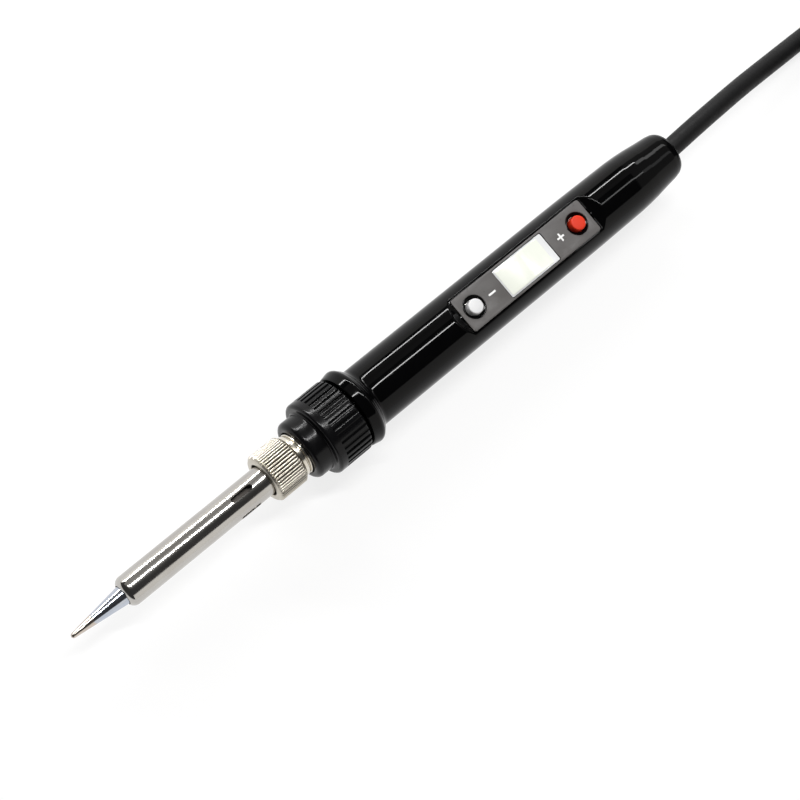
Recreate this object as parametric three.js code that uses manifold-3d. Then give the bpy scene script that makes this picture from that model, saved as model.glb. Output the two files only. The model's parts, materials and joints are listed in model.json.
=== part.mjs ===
// A temperature-controlled soldering iron with a display and two buttons in its handle, its mains
// lead folded into a tied hank and ending in a two-pin plug. Millimetres, +Z up.
//
// The iron's axis lies along +X with the tip towards -X. A "station" is the distance along that axis
// from the working end of the tip. The iron lies with its guard flange on z = 0 and its mid-length
// on x = 0. The display panel faces +Z.

import * as THREE from 'three';
import { mergeVertices } from 'three/addons/utils/BufferGeometryUtils.js';
import Module from 'manifold-3d';

const wasm = await Module();
wasm.setup();

// ---------------------------------------------------------------- driving dimensions

const IRON_LENGTH = 200;
const AXIS_HEIGHT = 10.65;      // the flange's radius, so that its rim touches z = 0
const GAP = 0.3;                // clearance between pieces that rest against each other
const ROUND = 40;               // sides of the large round pieces
const FINE = 24;                // sides of the small round pieces

const TIP = { base: 2.45, shank: 3.25, bore: 2.15, coneEnd: 15.1, shoulder: 17.3, end: 42 };
const BARREL = { front: 15, corner: 17.1, end: 61.4, radius: 4, wall: 0.4, lip: 2.65, flange: 5.2 };
const SLOT = { front: 48.4, end: 54.5, width: 1.5, turn: 11.2 };
const NUT = { front: 58.7, end: 67.3, radius: 6.6, face: 5.85, hole: 4.55, bore: 5.8, wall: 1.7 };
const NUT_REAR = 0.5;           // chamfer round the nut's rear edge
const KNURLS = 50;
const KNURL_DEPTH = 0.32;
const FERRULE = {
  front: 61.8, rings: 67.6, seat: 73, flangeEnd: 75.7, end: 84,
  crest: 5.55, root: 5.15, ring: 5.72, flange: 7, tail: 5, bore: 3.4,
};
const THREAD_PITCH = 1;
const HEATER = { radius: 1.95, front: 21.4, end: 67 };
const HEATER_BASE = { front: 62.2, end: 66.2, radius: 4.05 };
const COLLAR = { front: 69.6, seat: 72.7, step: 74.5, shoulder: 75.3, cup: 75.7, band: 76.9, end: 85.05 };
const COLLAR_RADII = { mouth: 6, boss: 8.1, body: 10.3, seat: 7.3, inner: 8.6 };
const FLUTES = 36;
const FLUTE = { width: 0.95, depth: 0.5 };
const HANDLE = { spigot: 76, flange: 85.75, crest: 88.4, grip: 91.8, taper: 168, end: 200.5 };
const HANDLE_ROUNDS = { corner: 0.35, rim: 1.2, fillet: 2.1 };
const HANDLE_RADII = { spigot: 8.25, flange: 10.65, grip: 8.27, bore: 6.4, mouth: 4.2 };
const PANEL = { front: 123, end: 168.4, width: 9.9, top: 6.2, thick: 0.6, corner: 0.6 };
const RECESS = { front: 120, end: 171.4, run: 2.6 };
const LEDGE = 5.3;              // height of the panel's ledge above the axis
const WINDOW = { front: 124.6, end: 166.8, width: 9 };
const DISPLAY = { front: 137, end: 154, width: 8.5, top: 6.05, thick: 0.7 };
const BUTTON = { minus: 127.3, plus: 164, radius: 2, hole: 3.2, top: 7.2, flange: 2.6 };
const BOARD = { front: 108, end: 170, width: 11.2, bottom: 0.15, top: 1.35 };
const SWITCH = { side: 6, bottom: 1.65, floor: 2.6, top: 4.55, pocket: 2.85 };
const COVER = { bottom: 4.85, top: 5.15, hole: 2.3 };

const CORD_RADIUS = 2.7;
const RELIEF = { front: 179, taper: 186, neck: 192, end: 200.4, large: 5.6, small: 3.9, bore: 3 };

const HANK = { nearBend: 184, runLength: 98, foldRadius: 16.2, centreY: -15.2, turns: 4 };
const WAIST = { halfWidth: 3, ramp: 44 };
const TIE = { width: 9, thick: 1, slack: 0.4 };
const PLUG = { rear: 280, front: 312, width: 35, thick: 13.6, boot: 16, pinSpacing: 18.6 };
const PIN = { radius: 2, length: 19, seat: 8 };

// ---------------------------------------------------------------- colours

const finish = (color, roughness, metalness) =>
  new THREE.MeshStandardMaterial({ color, roughness, metalness });

const LOOKS = {
  chrome: finish(0xb9bcc0, 0.2, 1),
  steel: finish(0xc8c6c2, 0.25, 1),
  nickel: finish(0xd5d0c2, 0.3, 1),
  ceramic: finish(0xe8e4da, 0.7, 0),
  satinBlack: finish(0x1c1c1e, 0.45, 0),
  glossBlack: finish(0x121214, 0.15, 0),
  greyPanel: finish(0x9a9a9a, 0.5, 0),
  displayGlass: finish(0xe9ece0, 0.2, 0),
  whitePlastic: finish(0xe4e4e4, 0.4, 0),
  redPlastic: finish(0xe0452c, 0.4, 0),
  boardGreen: finish(0x1f5a36, 0.5, 0),
  chipBlack: finish(0x202022, 0.6, 0),
  componentTan: finish(0xb98a4a, 0.6, 0),
  rubberGrey: finish(0x6c6c6c, 0.8, 0),
  rubberBlack: finish(0x161616, 0.75, 0),
  sleeveWhite: finish(0xd8d4c8, 0.8, 0),
  wireBrown: finish(0x6a3b22, 0.6, 0),
  wireBlue: finish(0x2c5aa0, 0.6, 0),
};

// ---------------------------------------------------------------- solids

/** A closed geometry as a solid that can be cut and joined. */
function toSolid(geometry) {
  const bare = geometry.clone();
  bare.deleteAttribute('normal');
  bare.deleteAttribute('uv');
  const merged = mergeVertices(bare, 1e-4);
  const vertProperties = new Float32Array(merged.attributes.position.array);
  const triVerts = new Uint32Array(merged.index.array);
  return new wasm.Manifold(new wasm.Mesh({ numProp: 3, vertProperties, triVerts }));
}

/** A solid as a geometry. */
function toGeometry(solid) {
  const mesh = solid.getMesh();
  const geometry = new THREE.BufferGeometry();
  geometry.setAttribute('position', new THREE.BufferAttribute(mesh.vertProperties, 3));
  geometry.setIndex(new THREE.BufferAttribute(mesh.triVerts, 1));
  return geometry;
}

/** The base geometry with every cutter taken out of it. */
function cut(base, cutters) {
  let solid = toSolid(base);
  for (const cutter of cutters) solid = solid.subtract(toSolid(cutter));
  return toGeometry(solid);
}

/** Only what two geometries share. */
function common(first, second) {
  return toGeometry(toSolid(first).intersect(toSolid(second)));
}

/** A solid of revolution about the X axis from an outline of [station, radius] pairs. */
function turned(outline, sides = FINE) {
  const points = outline.map(([station, radius]) => new THREE.Vector2(radius, station));
  const geometry = new THREE.LatheGeometry(points, sides);
  geometry.rotateZ(-Math.PI / 2);
  return geometry;
}

/** A turned solid whose outline closes on itself, so that it has a bore. */
const turnedRing = (outline, sides = FINE) => turned([...outline, outline[0]], sides);

/** A plain tube between two stations. */
function sleeve(front, end, outer, inner, sides = FINE) {
  return turnedRing([[front, inner], [front, outer], [end, outer], [end, inner]], sides);
}

/** A plain rod between two stations. */
function rod(front, end, radius, sides = FINE) {
  return turned([[front, 0], [front, radius], [end, radius], [end, 0]], sides);
}

/** Outline points along an arc about [station, radius], both angles in degrees from +X. */
function arc(station, radius, size, from, to, steps = 4) {
  const points = [];
  for (let i = 0; i <= steps; i += 1) {
    const angle = THREE.MathUtils.degToRad(from + (to - from) * (i / steps));
    points.push([station + size * Math.cos(angle), radius + size * Math.sin(angle)]);
  }
  return points;
}

/** A box given by its lowest and highest corners. */
function block(low, high) {
  const size = high.map((value, axis) => value - low[axis]);
  const geometry = new THREE.BoxGeometry(...size);
  geometry.translate(...low.map((value, axis) => value + size[axis] / 2));
  return geometry;
}

/** A rod along Z between two heights. */
function upright(x, y, bottom, top, radius, sides = FINE) {
  const geometry = new THREE.CylinderGeometry(radius, radius, top - bottom, sides);
  geometry.rotateX(Math.PI / 2);
  geometry.translate(x, y, (bottom + top) / 2);
  return geometry;
}

/** A flat plate with round corners, lying between two heights. */
function plate(front, end, width, corner, bottom, top) {
  const half = width / 2;
  const shape = new THREE.Shape();
  shape.moveTo(front + corner, -half);
  shape.lineTo(end - corner, -half);
  shape.absarc(end - corner, corner - half, corner, -Math.PI / 2, 0);
  shape.absarc(end - corner, half - corner, corner, 0, Math.PI / 2);
  shape.absarc(front + corner, half - corner, corner, Math.PI / 2, Math.PI);
  shape.absarc(front + corner, corner - half, corner, Math.PI, Math.PI * 1.5);
  const options = { depth: top - bottom, bevelEnabled: false, curveSegments: 4 };
  const geometry = new THREE.ExtrudeGeometry(shape, options);
  geometry.translate(0, 0, bottom);
  return geometry;
}

/** A round wire or cord through the given [x, y, z] points. */
function strand(points, radius, sides, steps) {
  const curve = new THREE.CatmullRomCurve3(points.map((point) => new THREE.Vector3(...point)));
  const section = new THREE.Shape();
  for (let i = 0; i < sides; i += 1) {
    const angle = (2 * Math.PI * i) / sides;
    const put = i === 0 ? 'moveTo' : 'lineTo';
    section[put](radius * Math.cos(angle), radius * Math.sin(angle));
  }
  return new THREE.ExtrudeGeometry(section, { steps, extrudePath: curve });
}

// ---------------------------------------------------------------- hot end

/** Conical tip with a round point, and the hollow shank that slides over the heater. */
function tipGeometry() {
  return turned([
    [0, 0], [0.13, 0.42], [0.55, 0.7], [TIP.coneEnd, TIP.base], [TIP.shoulder, TIP.base],
    [TIP.shoulder, TIP.shank], [TIP.end, TIP.shank], [TIP.end, TIP.bore], [21, TIP.bore], [21, 0],
  ]);
}

/** One vent slot of the barrel: a bar with round ends, through the wall on the +Z side. */
function ventCutter(turnDegrees) {
  const height = BARREL.radius + 1;
  const bar = plate(SLOT.front, SLOT.end, SLOT.width, SLOT.width / 2 - 0.01, 1, height);
  bar.rotateX(THREE.MathUtils.degToRad(turnDegrees));
  return bar;
}

/** Thin tube that holds the tip, with a turned-in lip, four vent slots and a rear flange. */
function barrelGeometry() {
  const corner = BARREL.corner - BARREL.front;
  const inner = BARREL.radius - BARREL.wall;
  const bend = inner - BARREL.lip;
  const shell = turnedRing([
    [BARREL.front, BARREL.lip],
    ...arc(BARREL.corner, BARREL.radius - corner, corner, 140, 90),
    [60.6, BARREL.radius], [60.6, BARREL.flange], [BARREL.end, BARREL.flange],
    [BARREL.end, inner], [BARREL.corner, inner],
    ...arc(BARREL.corner, inner - bend, bend, 120, 160, 2),
    [BARREL.front + 0.6, BARREL.lip],
  ], 28);
  return cut(shell, [0, 90, 180, 270].map((turn) => ventCutter(turn - SLOT.turn)));
}

/** Nut that clamps the barrel's flange, with straight knurls and a chamfered front. */
function nutGeometry() {
  const star = new THREE.Shape();
  for (let i = 0; i < KNURLS * 2; i += 1) {
    const angle = (Math.PI * i) / KNURLS;
    const radius = NUT.radius - (i % 2) * KNURL_DEPTH;
    const put = i === 0 ? 'moveTo' : 'lineTo';
    star[put](radius * Math.cos(angle), radius * Math.sin(angle));
  }
  const depth = NUT.end - NUT.front;
  const knurled = new THREE.ExtrudeGeometry(star, { depth, bevelEnabled: false });
  knurled.rotateY(Math.PI / 2);
  knurled.translate(NUT.front, 0, 0);
  const chamfer = NUT.radius - NUT.face;
  const envelope = turned([
    [NUT.front, 0], [NUT.front, NUT.face], [NUT.front + chamfer, NUT.radius],
    [NUT.end - NUT_REAR, NUT.radius - 0.15], [NUT.end, NUT.radius - NUT_REAR], [NUT.end, 0],
  ], ROUND);
  const shoulder = NUT.front + NUT.wall;
  const bore = turned([
    [NUT.front - 1, 0], [NUT.front - 1, NUT.hole], [shoulder, NUT.hole],
    [shoulder, NUT.bore], [NUT.end + 1, NUT.bore], [NUT.end + 1, 0],
  ], 32);
  return cut(common(knurled, envelope), [bore]);
}

/** Metal nipple: the nut's thread, two plain rings, a flange that the collar clamps, a plain tail. */
function ferruleGeometry() {
  const thread = [];
  const { front, rings, seat, flangeEnd, end, crest, root, ring, flange, tail, bore } = FERRULE;
  const groove = { front: rings + 1.1, end: rings + 1.5 };
  const counterbore = { radius: 4.4, end: 66.6 };
  for (let s = front; s < rings - THREAD_PITCH / 2; s += THREAD_PITCH) {
    thread.push([s + 0.1, root], [s + THREAD_PITCH / 2, crest]);
  }
  return turnedRing([
    [front, counterbore.radius], ...thread, [rings, root], [rings, ring], [groove.front, ring],
    [groove.front, root], [groove.end, root], [groove.end, ring], [seat, ring], [seat, flange],
    [flangeEnd, flange],
    [flangeEnd, tail], [end, tail], [end, bore], [counterbore.end, bore],
    [counterbore.end, counterbore.radius],
  ]);
}

function heaterBaseGeometry() {
  const { front, end, radius } = HEATER_BASE;
  return sleeve(front, end, radius, HEATER.radius + GAP);
}

/** One of the four wires from the heater's end through the ferrule to the board's front edge. */
function heaterLead(index) {
  const across = index < 2 ? -0.8 : 0.8;
  const up = index % 2 === 0 ? -0.8 : 0.8;
  const spread = -3.6 + 2.4 * index;
  return strand([
    [HEATER.end + GAP, across, up], [78, across, up], [92, across, up], [100, spread * 0.75, 0.8],
    [BOARD.front - GAP, spread, 0.75],
  ], 0.5, 8, 14);
}

// ---------------------------------------------------------------- collar and handle

/** Screw collar: a round boss in front, a wide rounded shoulder, and grip flutes behind it. */
function collarGeometry() {
  const { front, seat, step, shoulder, cup, band, end } = COLLAR;
  const { mouth, boss, body, inner } = COLLAR_RADII;
  const edge = 1.4;
  const round = shoulder - step;
  const shell = turnedRing([
    [front, mouth], ...arc(front + edge, boss - edge, edge, 180, 90), [step, boss],
    ...arc(shoulder, body - round, round, 180, 90), [end - 0.3, body], [end, body - 0.3],
    [end, inner], [cup, inner], [cup, COLLAR_RADII.seat], [seat, COLLAR_RADII.seat], [seat, mouth],
  ], FLUTES);
  const flutes = [];
  for (let i = 0; i < FLUTES; i += 1) {
    const reach = body + 1;
    const flute = block([band, -FLUTE.width / 2, body - FLUTE.depth], [end + 1, FLUTE.width / 2, reach]);
    flute.rotateX(((i + 0.5) * 2 * Math.PI) / FLUTES);
    flutes.push(flute);
  }
  return cut(shell, flutes);
}

/** The recess over the panel: a flat floor with sloping ends, open above. */
function recessCutter() {
  const { front, end, run } = RECESS;
  const clear = 1;                // how far the cutter reaches above the grip
  const overrun = (run / (HANDLE_RADII.grip - PANEL.top)) * clear;
  const side = new THREE.Shape();
  side.moveTo(front + run, PANEL.top);
  side.lineTo(end - run, PANEL.top);
  side.lineTo(end + overrun, HANDLE_RADII.grip + clear);
  side.lineTo(front - overrun, HANDLE_RADII.grip + clear);
  const depth = 2 * HANDLE_RADII.flange;
  const geometry = new THREE.ExtrudeGeometry(side, { depth, bevelEnabled: false });
  geometry.rotateX(Math.PI / 2);
  geometry.translate(0, depth / 2, 0);
  return geometry;
}

/** Handle shell: spigot for the collar, guard flange, grip with the panel opening, round tail. */
function handleGeometry() {
  const { spigot, flange, crest, grip, taper, end } = HANDLE;
  const { corner, rim, fillet } = HANDLE_ROUNDS;
  const radii = HANDLE_RADII;
  const tail = [
    [178, 8.13], [184, 8.07], [187.5, 7.9], [190.5, 7.65], [194.4, 7.17], [198, 6.78], [199.4, 6.48],
    [200.2, 6.15], [end, 5.75],
  ];
  const shell = turnedRing([
    [spigot, radii.bore], [spigot, radii.spigot], [flange, radii.spigot],
    [flange, radii.flange - 2 * corner], [flange + corner, radii.flange - corner],
    ...arc(crest, radii.flange - rim, rim, 90, 34, 4),
    ...arc(grip, radii.grip + fillet, fillet, 200, 270, 3), [taper, radii.grip], ...tail,
    [end, radii.mouth], [RELIEF.neck, radii.mouth], [RELIEF.taper, radii.bore],
  ], ROUND);
  const pocket = plate(
    PANEL.front - GAP, PANEL.end + GAP, PANEL.width + 2 * GAP, PANEL.corner + GAP, LEDGE, 9);
  const half = WINDOW.width / 2;
  const window = block([WINDOW.front, -half, 3], [WINDOW.end, half, LEDGE + 1]);
  return cut(shell, [recessCutter(), pocket, window]);
}

/** Grey fascia with the display opening and the two button holes. */
function panelGeometry() {
  const bottom = PANEL.top - PANEL.thick;
  const fascia = plate(PANEL.front, PANEL.end, PANEL.width, PANEL.corner, bottom, PANEL.top);
  const clear = 0.2;
  const opening = plate(
    DISPLAY.front - clear, DISPLAY.end + clear, DISPLAY.width + 2 * clear, 0.6, bottom - 1, 7);
  const hole = (station) => upright(station, 0, bottom - 1, PANEL.top + 1, BUTTON.hole, 28);
  return cut(fascia, [opening, hole(BUTTON.minus), hole(BUTTON.plus)]);
}

// ---------------------------------------------------------------- electronics

/** Plastic body of a push switch: a square block with a round pocket for the plunger. */
function switchBody(station) {
  const half = SWITCH.side / 2;
  const shell = block([station - half, -half, SWITCH.bottom], [station + half, half, SWITCH.top]);
  return cut(shell, [upright(station, 0, SWITCH.floor, SWITCH.top + 1, SWITCH.pocket)]);
}

/** Metal plate that keeps the plunger in its switch. */
function switchCover(station) {
  const half = SWITCH.side / 2;
  const sheet = block([station - half, -half, COVER.bottom], [station + half, half, COVER.top]);
  return cut(sheet, [upright(station, 0, 4, 6, COVER.hole)]);
}

/** Plunger of a switch: a captive flange below and the round cap that the thumb presses. */
function buttonGeometry(station) {
  const geometry = turned([
    [3.45, 0], [3.45, BUTTON.flange], [4.3, BUTTON.flange], [4.3, BUTTON.radius],
    [BUTTON.top - 0.2, BUTTON.radius], [BUTTON.top, BUTTON.radius - 0.2], [BUTTON.top, 0],
  ]);
  geometry.rotateY(-Math.PI / 2);
  geometry.translate(station, 0, 0);
  return geometry;
}

/** Snap dome under a plunger. */
function domeGeometry(station) {
  const geometry = turned([[2.9, 0], [2.9, 2.4], [3.0, 2.4], [3.12, 1.4], [3.15, 0]]);
  geometry.rotateY(-Math.PI / 2);
  geometry.translate(station, 0, 0);
  return geometry;
}

/** Rubber strip that joins the display's edge contacts to the board. */
function contactStrip(side) {
  const [inner, outer] = side < 0 ? [-4, -3.2] : [3.2, 4];
  return block([138, inner, BOARD.top + GAP], [153, outer, 5.05]);
}

/** Insulated wire from the lead's end to the rear edge of the board. */
function supplyLead(side) {
  return strand([
    [175.2, side * 1.3, 0], [173.6, side * 1.8, 0.2], [172, side * 2.6, 0.6],
    [BOARD.end + GAP, side * 3, 0.75],
  ], 0.6, 8, 6);
}

// ---------------------------------------------------------------- mains lead

/** Soft rubber sleeve in the handle's tail, tapered towards the cord's exit. */
function reliefGeometry() {
  const { front, taper, neck, end, large, small, bore } = RELIEF;
  return turnedRing([
    [front, bore], [front, large - 0.6], [front + 0.6, large], [taper, large],
    [neck, small], [end - 0.4, small], [end, small - 0.4], [end, bore],
  ]);
}

const smooth = (t) => t * t * (3 - 2 * t);

/** How far a run lies from the hank's centre line, pinched in at the tie. */
function runOffset(x) {
  const middle = HANK.nearBend + HANK.runLength / 2;
  const t = THREE.MathUtils.clamp((Math.abs(x - middle) - 6) / WAIST.ramp, 0, 1);
  return WAIST.halfWidth + (HANK.foldRadius - WAIST.halfWidth) * smooth(t);
}

/** The hank's outer shape: two runs pinched at the middle and joined by round folds. */
function hankGeometry() {
  const { nearBend, runLength, foldRadius, centreY, turns } = HANK;
  const outer = foldRadius + CORD_RADIUS;
  const outline = [];
  const steps = 10;
  for (let i = 0; i <= steps; i += 1) {
    const x = nearBend + (runLength * i) / steps;
    outline.push([x, centreY + runOffset(x) + CORD_RADIUS]);
  }
  for (let i = 1; i < steps; i += 1) {
    const angle = Math.PI / 2 - (Math.PI * i) / steps;
    const x = nearBend + runLength + outer * Math.cos(angle);
    outline.push([x, centreY + outer * Math.sin(angle)]);
  }
  const far = nearBend * 2 + runLength;
  const back = outline.map(([x, y]) => [far - x, 2 * centreY - y]);
  const shape = new THREE.Shape();
  [...outline, ...back].forEach(([x, y], i) => shape[i === 0 ? 'moveTo' : 'lineTo'](x, y));
  const depth = 2 * CORD_RADIUS * turns + TIE.thick;
  const body = new THREE.ExtrudeGeometry(shape, { depth, bevelEnabled: false });
  const tie = tieSpan();
  const groove = block([tie.front - GAP, -60, -1], [tie.end + GAP, 30, TIE.thick + GAP]);
  return cut(body, [groove]);
}

/** Where the tie sits along X. */
function tieSpan() {
  const middle = HANK.nearBend + HANK.runLength / 2;
  return { front: middle - TIE.width / 2, end: middle + TIE.width / 2 };
}

/** Band round the pinched middle of the hank and the end of the cord on top of it. */
function tieGeometry() {
  const { front, end } = tieSpan();
  const half = WAIST.halfWidth + CORD_RADIUS + TIE.slack;
  const top = TIE.thick + GAP + 2 * CORD_RADIUS * (HANK.turns + 1) + 2 * TIE.slack;
  const low = [front, HANK.centreY - half - TIE.thick, 0];
  const high = [end, HANK.centreY + half + TIE.thick, top + TIE.thick];
  const hole = block([front - 1, HANK.centreY - half, TIE.thick], [end + 1, HANK.centreY + half, top]);
  return cut(block(low, high), [hole]);
}

/** The visible stretch of cord, from the handle's tail down to the hank. */
function leadInPoints() {
  return [
    [100.6, 0.05, 10.65], [106, 0.27, 10.6], [112, 0.53, 10.35], [118, 0.76, 9.85], [124, 0.94, 9.1],
    [130, 1.1, 8.15], [136, 1.2, 7.1], [142, 1.2, 6.05], [148, 1.18, 5.05], [154, 1.15, 4.15],
    [160, 1.12, 3.4], [165, 1.06, 2.95], [170, 1, 2.75],
  ];
}

/** The last stretch of cord, from the top of the hank to the plug's boot. */
function endPoints() {
  return [
    [184.5, 1, 25.3], [192, 0.6, 25.3], [200, -1.6, 25.3], [208, -5.6, 25.3], [216, -10.1, 25.3],
    [223, -13.4, 25.3], [230, -15, 25.3], [237, -15.2, 25.5], [243, -15.2, 26.4], [250, -15.2, 28.1],
    [257, -15.2, 29.4], [263.2, -15.2, 29.7],
  ];
}

const plugHeight = () => TIE.thick + 2 * CORD_RADIUS * HANK.turns + GAP + PLUG.thick / 2;

/** Flat two-pin plug body, narrowing towards the cord, with sockets for the pins. */
function plugBodyGeometry() {
  const { rear, front, width, thick, pinSpacing } = PLUG;
  const half = width / 2;
  const shape = new THREE.Shape();
  shape.moveTo(rear, -6);
  shape.quadraticCurveTo(rear + 4, -half, rear + 15, -half);
  shape.lineTo(front, -half);
  shape.lineTo(front, half);
  shape.lineTo(rear + 15, half);
  shape.quadraticCurveTo(rear + 4, half, rear, 6);
  const bevel = 2;
  const slab = new THREE.ExtrudeGeometry(shape, {
    depth: thick - 2 * bevel, curveSegments: 8, bevelEnabled: true, bevelSize: bevel,
    bevelThickness: bevel, bevelOffset: -bevel, bevelSegments: 2,
  });
  slab.translate(0, 0, bevel - thick / 2);
  const sockets = [-1, 1].map((side) => {
    const socket = rod(front - PIN.seat, front + 1, PIN.radius + GAP, 16);
    socket.translate(0, (side * pinSpacing) / 2, 0);
    return socket;
  });
  return cut(slab, sockets);
}

/** Tapered boot where the cord enters the plug. */
function plugBootGeometry() {
  const end = PLUG.rear - GAP;
  return turned([[end - PLUG.boot, 0], [end - PLUG.boot, 3.4], [end, 5.4], [end, 0]], 20);
}

/** Round contact pin with a rounded nose, seated in the plug body. */
function pinGeometry(side) {
  const nose = PLUG.front + PIN.length;
  const pin = turned([
    [PLUG.front - PIN.seat + GAP, 0], [PLUG.front - PIN.seat + GAP, PIN.radius],
    ...arc(nose - PIN.radius, 0, PIN.radius, 90, 0, 3),
  ], 16);
  pin.translate(0, (side * PLUG.pinSpacing) / 2, 0);
  return pin;
}

// ---------------------------------------------------------------- assembly

function mesh(name, geometry, material) {
  const part = new THREE.Mesh(geometry, material);
  part.name = name;
  return part;
}

function hotEnd() {
  const group = new THREE.Group();
  group.add(mesh('soldering_tip', tipGeometry(), LOOKS.chrome));
  group.add(mesh('barrel', barrelGeometry(), LOOKS.steel));
  group.add(mesh('knurled_nut', nutGeometry(), LOOKS.nickel));
  group.add(mesh('threaded_ferrule', ferruleGeometry(), LOOKS.nickel));
  group.add(mesh('ceramic_heater', rod(HEATER.front, HEATER.end, HEATER.radius), LOOKS.ceramic));
  group.add(mesh('heater_base', heaterBaseGeometry(), LOOKS.ceramic));
  group.add(mesh('lead_sleeve', sleeve(69, 90, 2.9, 2.4), LOOKS.sleeveWhite));
  for (let i = 0; i < 4; i += 1) {
    const look = i < 2 ? LOOKS.wireBrown : LOOKS.sleeveWhite;
    group.add(mesh(`heater_lead_${i + 1}`, heaterLead(i), look));
  }
  return group;
}

function housing() {
  const group = new THREE.Group();
  group.add(mesh('fluted_collar', collarGeometry(), LOOKS.satinBlack));
  group.add(mesh('handle_shell', handleGeometry(), LOOKS.glossBlack));
  group.add(mesh('panel_plate', panelGeometry(), LOOKS.greyPanel));
  group.add(mesh('strain_relief', reliefGeometry(), LOOKS.rubberBlack));
  group.add(mesh('cord_clamp', sleeve(176, 178.5, 4.2, CORD_RADIUS + GAP), LOOKS.whitePlastic));
  group.add(mesh('inner_cord', rod(175.5, RELIEF.end - 0.2, CORD_RADIUS, 16), LOOKS.rubberBlack));
  return group;
}

function display() {
  const group = new THREE.Group();
  const { front, end, width, top, thick } = DISPLAY;
  const glass = plate(front, end, width, 0.5, top - thick, top);
  group.add(mesh('lcd_glass', glass, LOOKS.displayGlass));
  const guide = block([front + 1, -2.8, 2.2], [end - 1, 2.8, top - thick - GAP]);
  group.add(mesh('lcd_backlight', guide, LOOKS.whitePlastic));
  group.add(mesh('lcd_contact_strip_left', contactStrip(1), LOOKS.rubberGrey));
  group.add(mesh('lcd_contact_strip_right', contactStrip(-1), LOOKS.rubberGrey));
  return group;
}

function electronics() {
  const group = new THREE.Group();
  const half = BOARD.width / 2;
  const board = block([BOARD.front, -half, BOARD.bottom], [BOARD.end, half, BOARD.top]);
  group.add(mesh('control_board', board, LOOKS.boardGreen));
  const keys = [['minus', BUTTON.minus, LOOKS.whitePlastic], ['plus', BUTTON.plus, LOOKS.redPlastic]];
  for (const [sign, station, look] of keys) {
    group.add(mesh(`switch_body_${sign}`, switchBody(station), LOOKS.chipBlack));
    group.add(mesh(`switch_cover_${sign}`, switchCover(station), LOOKS.steel));
    group.add(mesh(`contact_dome_${sign}`, domeGeometry(station), LOOKS.steel));
    group.add(mesh(`button_${sign}`, buttonGeometry(station), look));
  }
  const under = BOARD.bottom - GAP;
  group.add(mesh('mcu_chip', block([139, -2, under - 1.5], [149, 2, under]), LOOKS.chipBlack));
  group.add(mesh('triac', block([115, -3.2, under - 2.3], [121.5, 3.2, under]), LOOKS.chipBlack));
  const film = block([151.5, -3.5, under - 4.6], [161.5, 3.5, under]);
  group.add(mesh('film_capacitor', film, LOOKS.componentTan));
  const canister = rod(125, 136, 2.4, 16);
  canister.translate(0, 0, under - 2.4);
  group.add(mesh('electrolytic_capacitor', canister, LOOKS.chipBlack));
  const fuse = rod(163, 169, 1.2, 12);
  fuse.translate(0, 2.5, under - 1.2);
  group.add(mesh('mains_fuse', fuse, LOOKS.ceramic));
  group.add(mesh('supply_lead_live', supplyLead(1), LOOKS.wireBrown));
  group.add(mesh('supply_lead_neutral', supplyLead(-1), LOOKS.wireBlue));
  return group;
}

function mainsLead() {
  const group = new THREE.Group();
  group.add(mesh('cord_lead_in', strand(leadInPoints(), CORD_RADIUS, 10, 12), LOOKS.rubberBlack));
  group.add(mesh('cord_hank', hankGeometry(), LOOKS.rubberBlack));
  group.add(mesh('cord_end', strand(endPoints(), CORD_RADIUS, 10, 14), LOOKS.rubberBlack));
  group.add(mesh('hank_tie', tieGeometry(), LOOKS.rubberBlack));
  const plug = new THREE.Group();
  plug.position.set(0, HANK.centreY, plugHeight());
  plug.add(mesh('plug_boot', plugBootGeometry(), LOOKS.rubberBlack));
  plug.add(mesh('plug_body', plugBodyGeometry(), LOOKS.rubberBlack));
  plug.add(mesh('plug_pin_left', pinGeometry(1), LOOKS.nickel));
  plug.add(mesh('plug_pin_right', pinGeometry(-1), LOOKS.nickel));
  group.add(plug);
  return group;
}

const iron = new THREE.Group();
iron.position.set(-IRON_LENGTH / 2, 0, AXIS_HEIGHT);
iron.add(hotEnd(), housing(), display(), electronics());

const part = new THREE.Group();
part.add(iron, mainsLead());

export default part;
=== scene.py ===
"""A temperature-controlled soldering iron with its mains lead in a tied hank: looks and fine meshes.

Everything is in metres in the row frame: +X from the tip towards the cord, +Z out of the display
panel. A station is the distance from the working end of the tip, in millimetres. A section is a list
of (station, radius) points in millimetres, with an optional third value, the size of the corner's
rounding, and it is turned about the iron's axis.
"""

import json
import math

import bmesh
import bpy
from mathutils import Matrix, Vector


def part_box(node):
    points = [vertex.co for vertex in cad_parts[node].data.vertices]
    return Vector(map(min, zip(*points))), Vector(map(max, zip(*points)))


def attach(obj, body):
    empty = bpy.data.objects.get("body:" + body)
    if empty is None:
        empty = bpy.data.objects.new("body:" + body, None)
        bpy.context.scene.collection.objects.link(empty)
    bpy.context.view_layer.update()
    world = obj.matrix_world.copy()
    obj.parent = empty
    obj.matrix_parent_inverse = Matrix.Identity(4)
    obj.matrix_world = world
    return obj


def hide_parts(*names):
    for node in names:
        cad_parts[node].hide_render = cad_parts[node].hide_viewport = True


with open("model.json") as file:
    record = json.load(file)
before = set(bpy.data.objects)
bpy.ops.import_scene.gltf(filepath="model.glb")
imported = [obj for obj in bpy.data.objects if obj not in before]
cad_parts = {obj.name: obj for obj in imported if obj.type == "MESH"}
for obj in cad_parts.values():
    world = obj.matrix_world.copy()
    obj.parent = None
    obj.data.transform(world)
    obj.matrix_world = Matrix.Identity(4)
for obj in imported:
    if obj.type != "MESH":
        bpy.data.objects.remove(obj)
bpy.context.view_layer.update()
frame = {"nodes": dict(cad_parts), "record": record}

MM = 0.001
TIP_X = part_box("soldering_tip")[0][0]
HANDLE_LOW, HANDLE_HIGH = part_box("handle_shell")
AXIS_Z = (HANDLE_LOW[2] + HANDLE_HIGH[2]) / 2
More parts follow.
